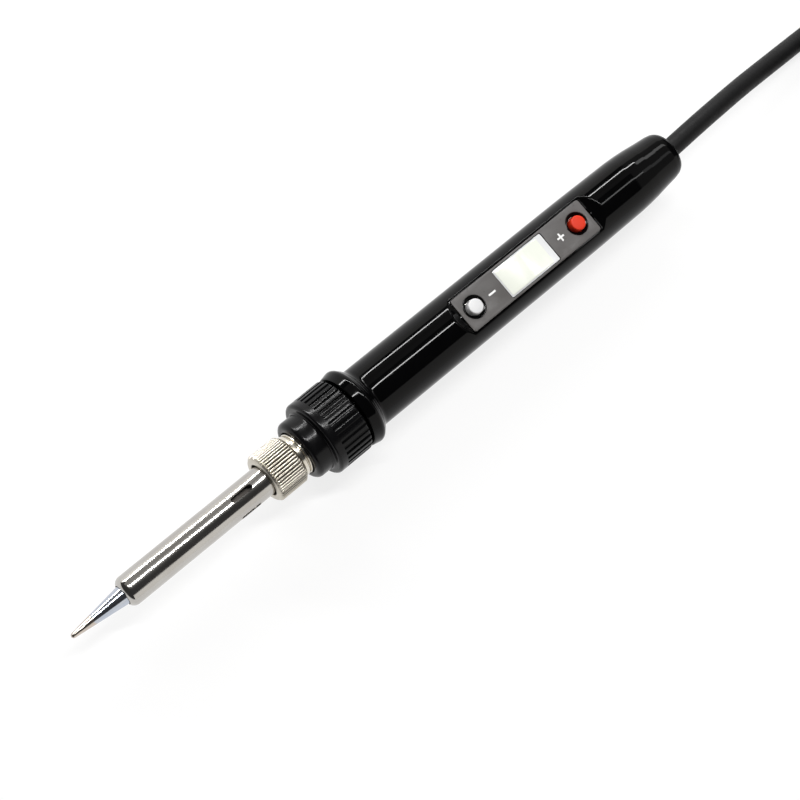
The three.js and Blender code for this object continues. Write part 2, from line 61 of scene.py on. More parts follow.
SLOT_OF = {row["node"]: row["material_slot"] for row in frame["record"]["subparts"]}
BODY_OF = {node: body for body, nodes in frame["record"]["behaviour"]["bodies"].items() for node in nodes}


def at(station, y=0.0, z=0.0):
    """The point at a station, offset from the iron's axis, all in millimetres."""
    return Vector((TIP_X + station * MM, y * MM, AXIS_Z + z * MM))


# ---------------------------------------------------------------- camera

LENS_FROM_TIP = (-66.83, -5.85, 445.5)  # millimetres from the tip's working end
FOCAL_LENGTH = 86.85  # millimetres, on a sensor 36 mm wide
VIEW_TILT = math.radians(20.37)  # between the line of sight and the panel's normal
VIEW_ROLL = math.radians(39.44)  # how steeply the iron rises across the picture
VIEW_LEAN = math.radians(1.4)  # turn of the whole view about the iron's axis, towards -Y


def make_camera():
    data = bpy.data.cameras.new("camera")
    data.lens = FOCAL_LENGTH
    data.sensor_width = 36
    data.clip_start = 0.01
    camera = bpy.data.objects.new("camera", data)
    bpy.context.collection.objects.link(camera)
    forward = Vector((math.sin(VIEW_TILT), 0, -math.cos(VIEW_TILT)))
    along = Vector((math.cos(VIEW_TILT), 0, math.sin(VIEW_TILT)))
    across = along.cross(forward)
    right = along * math.cos(VIEW_ROLL) - across * math.sin(VIEW_ROLL)
    turn = Matrix((right, right.cross(forward), -forward)).transposed()
    lean = Matrix.Rotation(VIEW_LEAN, 3, "X")
    place = at(*(lean @ Vector(LENS_FROM_TIP)))
    camera.matrix_world = Matrix.Translation(place) @ (lean @ turn).to_4x4()
    bpy.context.scene.camera = camera


make_camera()

# ---------------------------------------------------------------- materials


def tree_of(name):
    """A new material, its node tree, its shader and its object coordinates."""
    material = bpy.data.materials.new(name)
    material.use_nodes = True
    tree = material.node_tree
    coords = tree.nodes.new("ShaderNodeTexCoord")
    return material, tree, tree.nodes["Principled BSDF"], coords.outputs["Object"]


def noise_of(tree, coords, scale, detail=3.0, stretch=(1, 1, 1)):
    """A noise field over the object, optionally squeezed along the axes."""
    mapping = tree.nodes.new("ShaderNodeMapping")
    mapping.inputs["Scale"].default_value = stretch
    field = tree.nodes.new("ShaderNodeTexNoise")
    field.inputs["Scale"].default_value = scale
    field.inputs["Detail"].default_value = detail
    tree.links.new(coords, mapping.inputs["Vector"])
    tree.links.new(mapping.outputs["Vector"], field.inputs["Vector"])
    return field.outputs["Fac"]


def spread(tree, field, low, high, at_low=0.3, at_high=0.7):
    """The field mapped from at_low..at_high to low..high."""
    node = tree.nodes.new("ShaderNodeMapRange")
    for name, value in (("From Min", at_low), ("From Max", at_high), ("To Min", low), ("To Max", high)):
        node.inputs[name].default_value = value
    tree.links.new(field, node.inputs["Value"])
    return node.outputs["Result"]


def blend_colours(tree, factor, first, second):
    """Mix of two colours, each a triple or a socket."""
    node = tree.nodes.new("ShaderNodeMix")
    node.data_type = "RGBA"
    tree.links.new(factor, node.inputs["Factor"])
    inputs = [s for s in node.inputs if s.type == "RGBA"]
    for socket, value in zip(inputs, (first, second)):
        if isinstance(value, bpy.types.NodeSocket):
            tree.links.new(value, socket)
        else:
            socket.default_value = (*value, 1)
    return next(s for s in node.outputs if s.type == "RGBA")


def maths(tree, operation, first, second):
    """Two fields put through one operation."""
    node = tree.nodes.new("ShaderNodeMath")
    node.operation = operation
    tree.links.new(first, node.inputs[0])
    tree.links.new(second, node.inputs[1])
    return node.outputs["Value"]


def row_x_of(tree, coords):
    """The row x of each point of the surface."""
    node = tree.nodes.new("ShaderNodeSeparateXYZ")
    tree.links.new(coords, node.inputs["Vector"])
    return node.outputs["X"]


def bump(tree, shader, field, height, strength=1.0):
    node = tree.nodes.new("ShaderNodeBump")
    node.inputs["Distance"].default_value = height
    node.inputs["Strength"].default_value = strength
    tree.links.new(field, node.inputs["Height"])
    if shader.inputs["Normal"].links:
        tree.links.new(shader.inputs["Normal"].links[0].from_socket, node.inputs["Normal"])
    tree.links.new(node.outputs["Normal"], shader.inputs["Normal"])


def surface(name, colour, other, roughness, metallic=0.0, patch=120.0, grain=4000.0, relief=2e-6,
            stretch=(1, 1, 1), coat=0.0, specular=0.5):
    """A procedural finish: colour and roughness drift in patches, and a fine grain lifts the surface."""
    material, tree, shader, coords = tree_of(name)
    patches = noise_of(tree, coords, patch, 4.0)
    tree.links.new(blend_colours(tree, spread(tree, patches, 0, 1), colour, other),
                   shader.inputs["Base Color"])
    wear = noise_of(tree, coords, patch * 5, 5.0, stretch)
    tree.links.new(spread(tree, wear, *roughness), shader.inputs["Roughness"])
    shader.inputs["Metallic"].default_value = metallic
    shader.inputs["Specular IOR Level"].default_value = specular
    if coat:
        shader.inputs["Coat Weight"].default_value = coat
        shader.inputs["Coat Roughness"].default_value = 0.06
    bump(tree, shader, noise_of(tree, coords, grain, 2.0, stretch), relief)
    return material


MATERIALS = {
    "steel_tube": surface("polished_steel", (0.52, 0.505, 0.48), (0.47, 0.45, 0.425), (0.12, 0.17), 1.0,
                          stretch=(0.15, 1, 1), relief=1.5e-7),
    "nickel": surface("warm_nickel", (0.74, 0.70, 0.62), (0.66, 0.62, 0.54), (0.14, 0.24), 1.0,
                      relief=2e-7),
    "ceramic": surface("heated_alumina", (0.16, 0.145, 0.13), (0.09, 0.08, 0.07), (0.6, 0.8)),
    "satin_black": surface("satin_black", (0.0025, 0.0025, 0.0028), (0.0045, 0.0045, 0.005), (0.14, 0.26),
                           relief=4e-7, grain=2000, specular=0.18),
    "gloss_black": surface("gloss_black", (0.0007, 0.0007, 0.0008), (0.0014, 0.0014, 0.0016), (0.04, 0.09),
                           relief=1.2e-7, grain=900, specular=0.14),
    "white_plastic": surface("white_plastic", (0.72, 0.72, 0.72), (0.64, 0.64, 0.65), (0.35, 0.5)),
    "red_plastic": surface("red_plastic", (0.66, 0.035, 0.010), (0.58, 0.027, 0.008), (0.36, 0.5),
                           specular=0.2),
    "board": surface("solder_mask", (0.012, 0.11, 0.035), (0.02, 0.16, 0.055), (0.3, 0.45)),
    "component": surface("moulded_epoxy", (0.02, 0.02, 0.021), (0.035, 0.035, 0.036), (0.5, 0.7)),
    "film": surface("amber_dip", (0.50, 0.22, 0.045), (0.40, 0.16, 0.03), (0.25, 0.4)),
    "grey_rubber": surface("layered_rubber", (0.12, 0.12, 0.125), (0.2, 0.2, 0.205), (0.6, 0.8)),
    "black_rubber": surface("black_pvc", (0.004, 0.004, 0.0042), (0.007, 0.007, 0.0074), (0.40, 0.56),
                            relief=8e-6, grain=1700, specular=0.18),
    "woven_strap": surface("woven_strap", (0.012, 0.012, 0.013), (0.022, 0.022, 0.023), (0.7, 0.9),
                           relief=4e-5, grain=1500),
    "wire_brown": surface("brown_insulation", (0.16, 0.05, 0.02), (0.2, 0.07, 0.03), (0.4, 0.6)),
    "wire_white": surface("glass_fibre", (0.7, 0.68, 0.62), (0.6, 0.57, 0.5), (0.7, 0.9), grain=2500,
                          relief=2e-5),
    "wire_blue": surface("blue_insulation", (0.03, 0.10, 0.36), (0.04, 0.13, 0.42), (0.4, 0.6)),
}


def tinned_chrome():
    """Blue-white plating with a warmer tinned nose, and a near-black shank inside the barrel: some oxide,
    darkened further as painted shade where the barrel shadows it.
    """
    tinned, dark_from, dark_to = 6.4, 17.8, 18.2  # stations
    material, tree, shader, coords = tree_of("tinned_chrome")
    along = row_x_of(tree, coords)
    wobble = spread(tree, noise_of(tree, coords, 900), -0.0004, 0.0004)
    end = TIP_X + tinned * MM
    plated = spread(tree, maths(tree, "ADD", along, wobble), 0, 1, end - 0.15 * MM, end + 0.15 * MM)
    drift = spread(tree, noise_of(tree, coords, 500), 0, 1)
    chrome = blend_colours(tree, drift, (0.48, 0.52, 0.60), (0.54, 0.57, 0.63))
    solder = blend_colours(tree, drift, (0.62, 0.56, 0.50), (0.56, 0.50, 0.45))
    # painted shade: the shank inside the barrel, seen through the vent slots, is coloured near black where
    # the barrel shadows it (partly oxide, mostly painted shade)
    shank_shade = spread(tree, along, 0, 1, TIP_X + dark_from * MM, TIP_X + dark_to * MM)
    outer = blend_colours(tree, plated, solder, chrome)
    tree.links.new(blend_colours(tree, shank_shade, outer, (0.03, 0.026, 0.023)), shader.inputs["Base Color"])
    bright = spread(tree, plated, 0.20, 0.13, 0, 1)
    dull = spread(tree, shank_shade, 0, 0.5, 0, 1)
    tree.links.new(maths(tree, "MAXIMUM", bright, dull), shader.inputs["Roughness"])
    shader.inputs["Metallic"].default_value = 1.0
    bump(tree, shader, noise_of(tree, coords, 2200, 2, (0.3, 1, 1)), 3e-7)
    return material


def knurled_nickel():
    """Warm nickel whose knurl grooves are coloured near black as painted shade, with rougher metal there."""
    band_front, band_end = 60.0, 66.9  # stations
    groove_floor, groove_lip = 6.24, 6.54  # radii
    material, tree, shader, coords = tree_of("knurled_nickel")
    offset = tree.nodes.new("ShaderNodeVectorMath")
    offset.operation = "MULTIPLY_ADD"
    tree.links.new(coords, offset.inputs[0])
    offset.inputs[1].default_value = (0, 1, 1)
    offset.inputs[2].default_value = (0, 0, -AXIS_Z)
    length = tree.nodes.new("ShaderNodeVectorMath")
    length.operation = "LENGTH"
    tree.links.new(offset.outputs["Vector"], length.inputs[0])
    along = row_x_of(tree, coords)
    begin, finish = TIP_X + band_front * MM, TIP_X + band_end * MM
    behind_front = spread(tree, along, 0, 1, begin - 0.3 * MM, begin)
    before_end = spread(tree, along, 1, 0, finish, finish + 0.2 * MM)
    inside = maths(tree, "MULTIPLY", behind_front, before_end)
    # painted shade: the groove floors between the knurls get a near-black colour where shade falls in them
    low = spread(tree, length.outputs["Value"], 1, 0, groove_floor * MM, groove_lip * MM)
    groove_shade = maths(tree, "MULTIPLY", low, inside)
    drift = spread(tree, noise_of(tree, coords, 260), 0, 1)
    crest = blend_colours(tree, drift, (0.56, 0.525, 0.455), (0.50, 0.465, 0.40))
    tree.links.new(blend_colours(tree, groove_shade, crest, (0.03, 0.025, 0.02)), shader.inputs["Base Color"])
    tree.links.new(spread(tree, groove_shade, 0.30, 0.50, 0, 1), shader.inputs["Roughness"])
    shader.inputs["Metallic"].default_value = 1.0
    return material


def panel_grey():
    """Satin fascia: broad cloudy drift, and a few fine dark specks."""
    material, tree, shader, coords = tree_of("panel_grey")
    clouds = spread(tree, noise_of(tree, coords, 70, 3, (1, 1.6, 1)), 0, 1)
    base = blend_colours(tree, clouds, (0.080, 0.074, 0.071), (0.130, 0.126, 0.124))
    specks = spread(tree, noise_of(tree, coords, 1100, 1), 0, 1, 0.70, 0.76)
    tree.links.new(blend_colours(tree, specks, base, (0.085, 0.08, 0.075)), shader.inputs["Base Color"])
    tree.links.new(spread(tree, noise_of(tree, coords, 600, 4), 0.34, 0.5), shader.inputs["Roughness"])
    shader.inputs["Specular IOR Level"].default_value = 0.3
    bump(tree, shader, noise_of(tree, coords, 5200, 2), 3e-6)
    return material


MATERIALS["tip_plating"] = tinned_chrome()
MATERIALS["grey_panel"] = panel_grey()
KNURLED = knurled_nickel()
MATERIALS["display"] = surface("display_glass", (0.76, 0.77, 0.775), (0.70, 0.71, 0.715), (0.05, 0.1),
                               coat=1.0)
DISPLAY_FILM = surface("display_film", (0.84, 0.86, 0.77), (0.80, 0.825, 0.745), (0.12, 0.2), patch=90,
                       coat=1.0)
PAINT = surface("white_print", (0.86, 0.86, 0.85), (0.80, 0.80, 0.79), (0.4, 0.55))

# ---------------------------------------------------------------- mesh helpers


def show(name, verts, faces, material, angle=35.0):
    """A mesh object from points and faces, with outward faces, smooth but for its sharp edges."""
    mesh = bpy.data.meshes.new(name)
    mesh.from_pydata(verts, [], faces)
    work = bmesh.new()
    work.from_mesh(mesh)
    bmesh.ops.remove_doubles(work, verts=work.verts, dist=1e-7)
    bmesh.ops.recalc_face_normals(work, faces=work.faces)
    work.to_mesh(mesh)
    work.free()
    mesh.shade_smooth()
    mesh.set_sharp_from_angle(angle=math.radians(angle))
    piece = bpy.data.objects.new(name, mesh)
    bpy.context.collection.objects.link(piece)
    piece.data.materials.append(material)
    return piece


def stand_for(piece, *nodes):
    """The piece replaces these CAD nodes: it rides on their body, and the nodes are hidden."""
    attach(piece, BODY_OF[nodes[0]])
    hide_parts(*nodes)
    return piece


def ride_on(piece, body):
    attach(piece, body)
    return piece


def rounded(section, closed=False, steps=4):
    """The section with each corner that states a rounding size turned into an arc."""
    points = []
    count = len(section)
    for i, corner in enumerate(section):
        here = Vector(corner[:2])
        size = corner[2] if len(corner) > 2 else 0
        if not size or (not closed and i in (0, count - 1)):
            points.append(here)
            continue
        back = Vector(section[i - 1][:2]) - here
        ahead = Vector(section[(i + 1) % count][:2]) - here
        half = back.angle(ahead) / 2
        reach = min(size / math.tan(half), 0.49 * back.length, 0.49 * ahead.length)
        first, last = here + back.normalized() * reach, here + ahead.normalized() * reach
        radius = reach * math.tan(half)
        centre = here + (back.normalized() + ahead.normalized()).normalized() * (radius / math.sin(half))
        start, end = first - centre, last - centre
        for k in range(steps + 1):
            points.append(centre + start.slerp(end, k / steps) * radius)
    return [tuple(p) for p in points]


def turned(name, section, material, turns=128, closed=False, shape=None, centre=None, angle=35.0,
           upright=False):
    """A solid of revolution. turns is a count or a list of angles, and shape(station, radius, turn)
    may move the surface in or out. An upright one stands on the panel, with heights for stations."""
    verts, faces = [], []
    rows = len(section)
    origin = at(0) if centre is None else centre
    if isinstance(turns, int):
        turns = [2 * math.pi * j / turns for j in range(turns)]
    sides = len(turns)
    for station, radius in section:
        for turn in turns:
            r = shape(station, radius, turn) if shape else radius
            across, up = r * math.sin(turn), r * math.cos(turn)
            place = Vector((up, across, station)) if upright else Vector((station, across, up))
            verts.append(origin + place * MM)
    for i in range(rows if closed else rows - 1):
        for j in range(sides):
            a, b = i * sides + j, i * sides + (j + 1) % sides
            c, d = ((i + 1) % rows) * sides + (j + 1) % sides, ((i + 1) % rows) * sides + j
            faces.append((a, b, c, d))
    return show(name, verts, faces, material, angle)


def cut(piece, cutters, angle=28.0):
    """Takes closed cutter objects out of the piece and removes them, and marks its sharp edges."""
    for cutter in cutters:
        modifier = piece.modifiers.new("cut", "BOOLEAN")
        modifier.operation = "DIFFERENCE"
        modifier.solver = "MANIFOLD"
        modifier.object = cutter
        with bpy.context.temp_override(object=piece, active_object=piece, selected_objects=[piece]):
            bpy.ops.object.modifier_apply(modifier=modifier.name)
        bpy.data.objects.remove(cutter)
    piece.data.set_sharp_from_angle(angle=math.radians(angle))
    return piece


def outline_piece(name, loops, bottom, top, edge, material, resolution=6):
    """A flat piece between two heights, from closed outlines of (x, y, corner) in millimetres."""
    curve = bpy.data.curves.new(name, "CURVE")
    curve.dimensions = "2D"
    curve.fill_mode = "BOTH"
    curve.extrude = (top - bottom) / 2 * MM - edge * MM
    curve.bevel_depth = edge * MM
    curve.bevel_resolution = 2
    curve.offset = -edge * MM
    for loop in loops:
        points = rounded(loop, True, resolution)
        spline = curve.splines.new("POLY")
        spline.points.add(len(points) - 1)
        spline.use_cyclic_u = True
        for point, (x, y) in zip(spline.points, points):
            point.co = (x * MM, y * MM, 0, 1)
    holder = bpy.data.objects.new(name + "_outline", curve)
    bpy.context.collection.objects.link(holder)
    bpy.context.view_layer.update()
    mesh = bpy.data.meshes.new_from_object(holder.evaluated_get(bpy.context.evaluated_depsgraph_get()))
    bpy.data.objects.remove(holder)
    middle = at(0, 0, (bottom + top) / 2)
    verts = [v.co + middle for v in mesh.vertices]
    faces = [tuple(p.vertices) for p in mesh.polygons]
    bpy.data.meshes.remove(mesh)
    return show(name, verts, faces, material, 40)


def rectangle(front, end, width, corner):
    half = width / 2
    return [(front, -half, corner), (end, -half, corner), (end, half, corner), (front, half, corner)]


def circle(station, y, radius, count=48):
    turns = [2 * math.pi * i / count for i in range(count)]
    return [(station + radius * math.cos(t), y + radius * math.sin(t)) for t in turns]


def soft_min(a, b, blend):
    """The smaller of two values, with the corner between them rounded."""
    return min(a, b) - max(blend - abs(a - b), 0) ** 2 / (4 * blend)


def smooth(t):
    t = min(max(t, 0), 1)
    return t * t * (3 - 2 * t)


def arc(station, radius, size, start, end, steps=8):
    """Section points along an arc about (station, radius), with both angles in degrees from +X."""
    turns = [math.radians(start + (end - start) * i / steps) for i in range(steps + 1)]
    return [(station + size * math.cos(t), radius + size * math.sin(t)) for t in turns]


def extent(node):
    """A node's lowest and highest corners as stations and offsets from the axis, in millimetres."""
    return [(corner - at(0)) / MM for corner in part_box(node)]


# ---------------------------------------------------------------- hot end


def make_tip():
    """Conical tip with a round nose, on a hollow shank."""
    end = extent("soldering_tip")[1].x
    nose, base, shank, bore = 0.68, 2.45, 3.25, 2.15
    section = arc(nose, 0, nose, 180, 97, 8) + rounded([
        (nose + 0.2, nose + 0.03), (15.1, base, 2), (17.3, base, 0.15), (17.3, shank, 0.3),
        (end, shank, 0.2), (end, bore), (21, bore), (21, 0)])
    stand_for(turned("tip", section, MATERIALS["tip_plating"], 96), "soldering_tip")


def slot_cutter(turn):
    """A bar with round ends, flared where it leaves the barrel's wall."""
    front, end, width = 48.4, 54.5, 1.5
    levels = [(1.0, 0), (3.8, 0), (4.6, 0.55)]
    steps = 10
    verts, faces = [], []
    for height, flare in levels:
        half = width / 2 + flare
        ring = arc(front + width / 2, 0, half, 90, 270, steps) + arc(end - width / 2, 0, half, -90, 90, steps)
        verts += [Matrix.Rotation(turn, 3, "X") @ Vector((s, y, height)) for s, y in ring]
    count = len(verts) // len(levels)
    for level in range(len(levels) - 1):
        for i in range(count):
            a, b = level * count + i, level * count + (i + 1) % count
            faces.append((a, b, b + count, a + count))
    faces += [tuple(range(count)), tuple(range(2 * count, 3 * count))]
    return show("slot_cutter", [at(0) + v * MM for v in verts], faces, MATERIALS["steel_tube"])


def make_barrel():
    """Thin tube with a rounded front, a hole for the tip, four vent slots and a rear flange."""
    end = extent("barrel")[1].x
    radius, inner, lip, flange = 4.0, 3.6, 2.65, 5.2
    section = (
        [(15.75, lip), (15.4, lip), (15.24, lip + 0.05)]
        + arc(17.1, radius - 2.1, 2.1, 154, 90, 12)
        + rounded([(48, radius), (60.6, radius, 0.2), (60.6, flange, 0.1), (end, flange, 0.1),
                   (end, inner), (17.1, inner)])
        + arc(17.1, inner - 1.2, 1.2, 100, 150, 4))
    barrel = turned("barrel_tube", section, MATERIALS["steel_tube"], 128, True, angle=28)
    tilt = math.radians(-11.2)
    cut(barrel, [slot_cutter(tilt + quarter * math.pi / 2) for quarter in range(4)])
    stand_for(barrel, "barrel")


def make_nut():
    """Nut with straight round-topped knurls, a smooth chamfered mouth and a shouldered bore."""
    front, end = (corner.x for corner in extent("knurled_nut"))
    radius, face, hole, bore, depth, knurls = 6.6, 5.85, 4.55, 5.8, 0.45, 50
    chamfer = radius - face
    slope = [(front + chamfer * i / 6, face + chamfer * i / 6) for i in range(7)]
    section = (
        rounded([(front + 1.7, hole), (front, hole, 0.2), (front, face - 0.1)]) + slope[1:]
        + [(front + 1.2, radius), (end - 0.9, radius - 0.04)]
        + [(end - 0.45 * i / 5, radius - 0.45 * (1 - i / 5)) for i in range(5, -1, -1)]
        + rounded([(end, face), (end, bore, 0.15), (front + 1.7, bore)]))

    def tooth(station, r, turn):
        ridge = abs(math.sin(turn * knurls / 2))
        return min(r, radius - depth * (1 - ridge))

    nut = turned("nut", section, KNURLED, knurls * 10, True, tooth, angle=40)
    stand_for(nut, "knurled_nut")


def make_ferrule():
    """Nipple with a thread in front, the grooved ring seen between nut and collar, and a plain tail."""
    front, end = (corner.x for corner in extent("threaded_ferrule"))
    crest, root, ring, flange, seat = 5.5, 5.12, 5.72, 7.0, 73.0
    section = [(front, 4.4)]
    for i in range(6):
        section += [(front + 0.12 + i, root), (front + 0.42 + i, crest), (front + 0.58 + i, crest),
                    (front + 0.88 + i, root)]
    section += rounded([
        (67.6, root), (67.65, ring, 0.15), (68.7, ring, 0.2), (68.72, root, 0.1), (69.08, root, 0.1),
        (69.1, ring, 0.2), (70.3, ring, 0.2), (70.32, root, 0.1), (70.68, root, 0.1), (70.7, ring, 0.2),
        (seat, ring), (seat, flange, 0.2), (75.7, flange, 0.2), (75.7, 5.0), (end, 5.0, 0.2), (end, 3.4),
        (66.6, 3.4), (66.6, 4.4)])
    stand_for(turned("ferrule", section, MATERIALS["nickel"], 96, True, angle=50), "threaded_ferrule")


# ---------------------------------------------------------------- collar and handle


def make_collar():
    """Screw collar: a round boss, a wide rounded shoulder, and square-ended flutes behind it."""
    front, end = (corner.x for corner in extent("fluted_collar"))
    mouth, boss, body, seat, inner = 6.0, 8.1, 10.3, 7.3, 8.6
    step, band, flutes, depth = 74.5, 76.9, 36, 0.55
    section = (
        rounded([(72.7, mouth), (front, mouth, 0.3), (front, mouth + 0.5)])
        + arc(front + 1.4, boss - 1.4, 1.4, 180, 90, 10)
        + rounded([(step - 1.2, boss), (step, boss, 0.6), (step, body - 0.9)], steps=6)
        + arc(step + 0.9, body - 0.9, 0.9, 172, 90, 8)
        + [(76.2, body), (band - 0.1, body), (band, body), (band + 0.12, body), (band + 0.25, body)]
        + [(80, body), (end - 0.9, body)]
        + arc(end - 0.7, body - 0.7, 0.7, 90, 0, 6)
        + [(end, inner), (75.7, inner), (75.7, seat), (72.7, seat)])
    pitch = 2 * math.pi / flutes
    marks = [-0.27, -0.235, -0.12, 0, 0.12, 0.235, 0.27, 0.31, 0.4, 0.5, 0.6, 0.69]

    def floor(station, r, turn):
        place = abs((turn / pitch + 0.5) % 1 - 0.5)
        side = smooth((0.275 - place) / 0.05)
        entry = smooth((station - band) / 0.25)
        return min(r, body - depth * side * entry)

    turns = [(i + mark) * pitch for i in range(flutes) for mark in marks]
    collar = turned("collar", section, MATERIALS["satin_black"], turns, True, floor, angle=30)
    stand_for(collar, "fluted_collar")


PANEL_FRONT, PANEL_END = (corner.x for corner in extent("panel_plate"))
PANEL_TOP = extent("panel_plate")[1].z
PANEL_WIDTH = extent("panel_plate")[1].y * 2
GAP = 0.3  # clearance round the panel
GRIP = 8.27


def recess_height(station):
    """Height of the recess over the axis: a flat floor with sloping ends."""
    front, end, run = 120, 171.4, 2.6
    rise = (GRIP - PANEL_TOP) / run
    away = max(front + run - station, station - (end - run))
    return PANEL_TOP + max(away, 0) * rise


def with_recess(station, r, turn):
    """The grip's surface where the recess flattens it, with its edge rounded."""
    lean = math.cos(turn)
    if r < 7 or lean < 0.4 or not 117 < station < 174:
        return r
    return soft_min(r, recess_height(station) / lean, 0.25)


def make_handle():
    """Shell with the collar's spigot, a guard flange, a straight grip with a recess, and a round tail."""
    front, end = (corner.x for corner in extent("handle_shell"))
    rim = extent("handle_shell")[1].z
    spigot, bore, mouth, flange = 8.25, 6.4, 4.2, 85.75
    fine = [117.2 + 0.15 * i for i in range(52)]
    coarse = [125 + 2.55 * i for i in range(17)]
    rear = [166.4 + 0.15 * i for i in range(52)]
    section = (
        rounded([(front, bore), (front, spigot, 0.3), (flange, spigot)])
        + rounded([(flange, spigot + 0.5), (flange, rim - 0.5, 0.4), (87.6, rim - 0.03)], steps=8)[1:-1]
        + arc(88.1, rim - 1.5, 1.5, 106, 34, 20)
        + arc(91.8, GRIP + 2.1, 2.1, 200, 270, 12)
        + [(s, GRIP) for s in (94, 98, 104, 110, 115)]
        + [(s, GRIP) for s in fine + coarse]
        + [(s, soft_min(GRIP, GRIP - 0.016 * (s - 168), 0.1)) for s in rear])
    section += rounded([
        (174.3, 8.17), (184, 8.07, 30), (187.5, 7.9, 20), (190.5, 7.65, 15), (194.4, 7.17, 10),
        (198, 6.8, 8), (199.5, 6.5, 2), (200.35, 6.05, 0.8), (end, 5.6, 0.3), (end, mouth + 0.25, 0.25),
        (end - 0.35, mouth), (192, mouth), (186, bore)], steps=5)
    shell = turned("handle", section, MATERIALS["gloss_black"], 192, True, with_recess, angle=32)
    ledge, window = 5.3, (124.6, 166.8, 9)
    bed = rectangle(PANEL_FRONT - GAP, PANEL_END + GAP, PANEL_WIDTH + 2 * GAP, 0.9)
    pocket = outline_piece("pocket", [bed], ledge, 9, 0, MATERIALS["gloss_black"])
    opening = outline_piece("opening", [rectangle(*window, 0.4)], 3, ledge + 1, 0, MATERIALS["gloss_black"])
    cut(shell, [pocket, opening])
    stand_for(shell, "handle_shell")


def make_relief():
    """Soft sleeve in the tail's mouth."""
    front, end = (corner.x for corner in extent("strain_relief"))
    large, small, bore = 5.6, 3.9, 2.85
    section = rounded([
        (front, bore, 0.2), (front, large, 0.6), (186, large, 2), (192, small, 1), (end, small, 0.45),
        (end, bore, 0.2), (front + 5, bore)])
    stand_for(turned("relief", section, MATERIALS["black_rubber"], 64, True), "strain_relief")


# ---------------------------------------------------------------- fascia, display and buttons

BUTTONS = {"minus": 127.3, "plus": 164.0}
GLASS_FRONT, GLASS_END = (corner.x for corner in extent("lcd_glass"))
GLASS_WIDTH = extent("lcd_glass")[1].y * 2
GLASS_TOP = extent("lcd_glass")[1].z


def make_panel():
    """Fascia with the display opening and two button holes, all with softly rounded edges."""
    loops = [rectangle(PANEL_FRONT, PANEL_END, PANEL_WIDTH, 0.7),
             rectangle(GLASS_FRONT - 0.15, GLASS_END + 0.15, GLASS_WIDTH + 0.3, 0.5)]
    loops += [circle(station - 0.05, 0.12, 3.15, 72) for station in BUTTONS.values()]
    bottom = extent("panel_plate")[0].z
    stand_for(outline_piece("panel", loops, bottom, PANEL_TOP, 0.1, MATERIALS["grey_panel"]), "panel_plate")


def make_marks():
    """The printed minus and plus."""
    length, stroke = 2.3, 0.5
    bottom, top = PANEL_TOP - 0.02, PANEL_TOP + 0.035
    minus = rectangle(133.3 - length / 2, 133.3 + length / 2, stroke, 0.08)
    arm, half, x = length / 2, stroke / 2, 157.9
    corners = [(-arm, -half), (-half, -half), (-half, -arm), (half, -arm), (half, -half), (arm, -half),
               (arm, half), (half, half), (half, arm), (-half, arm), (-half, half), (-arm, half)]
    plus = [(x + a, b) for a, b in corners]
    for name, loop in (("minus_mark", minus), ("plus_mark", plus)):
        mark = outline_piece(name, [loop], bottom, top, 0.01, PAINT)
        ride_on(mark, "handle")


def make_display():
    """Glass slab with a paler film over most of it, which leaves a clear band at the rear end."""
    glass = outline_piece("display_glass", [rectangle(GLASS_FRONT, GLASS_END, GLASS_WIDTH, 0.45)],
                          GLASS_TOP - 0.7, GLASS_TOP, 0.08, MATERIALS["display"])
    stand_for(glass, "lcd_glass")
    edge, band = 0.4, 1.8
    loop = rectangle(GLASS_FRONT + edge, GLASS_END - band, GLASS_WIDTH - 2 * edge, 0.5)
    film = outline_piece("display_film", [loop], GLASS_TOP - 0.02, GLASS_TOP + 0.09, 0.03, DISPLAY_FILM)
    ride_on(film, "handle")


def make_well(sign):
    """Black stepped ring under the edge of a button's hole, round the switch."""
    low = extent("switch_cover_" + sign)[1].z + 0.08
    top = PANEL_TOP - 0.12
    section = rounded([(low, 2.2), (low, 3.1), (top, 3.1, 0.05), (top, 2.86, 0.08), (top - 0.35, 2.8, 0.05),
                       (top - 0.35, 2.55, 0.1), (low + 0.2, 2.45, 0.05), (low + 0.2, 2.25, 0.05)], True, 3)
    ring = turned("well_" + sign, section, MATERIALS["gloss_black"], 72, True,
                  centre=at(BUTTONS[sign] - 0.05, 0.12), upright=True)
    ride_on(ring, "handle")


def make_button(sign):
    """Round cap with a softened rim on a wider captive flange."""
    base, ledge, top = 3.45, 4.3, extent("button_" + sign)[1].z
    wide, slim = 2.6, 2.0
    section = rounded([(base, 0), (base, wide, 0.1), (ledge, wide, 0.1), (ledge, slim, 0.1),
                       (top, slim, 0.32), (top, 0)])
    look = MATERIALS["white_plastic" if sign == "minus" else "red_plastic"]
    cap = turned("cap_" + sign, section, look, 72, centre=at(BUTTONS[sign]), upright=True)
    stand_for(cap, "button_" + sign)


# ---------------------------------------------------------------- mains lead

CORD_RADIUS = 2.7
EXIT = 100.25  # row x of the cord's start, just inside the mouth of the relief
LEAD_IN = [
    (106, 0.27, 10.6), (112, 0.53, 10.35), (118, 0.76, 9.85), (124, 0.94, 9.1), (130, 1.1, 8.15),
    (136, 1.2, 7.1), (142, 1.2, 6.05), (148, 1.18, 5.05), (154, 1.15, 4.15), (160, 1.12, 3.4),
    (165, 1.06, 2.95), (170, 1, 2.75)]
LAST_STRETCH = [
    (184.5, 1, 25.3), (192, 0.6, 25.3), (200, -1.6, 25.3), (208, -5.6, 25.3), (216, -10.1, 25.3),
    (223, -13.4, 25.3), (230, -15, 25.3), (237, -15.2, 25.5), (243, -15.2, 26.4), (250, -15.2, 28.1),
    (257, -15.2, 29.4), (263.2, -15.2, 29.7)]
NEAR_BEND, FAR_BEND, FOLD, HANK_Y, TURNS = 184, 282, 16.2, -15.2, 4
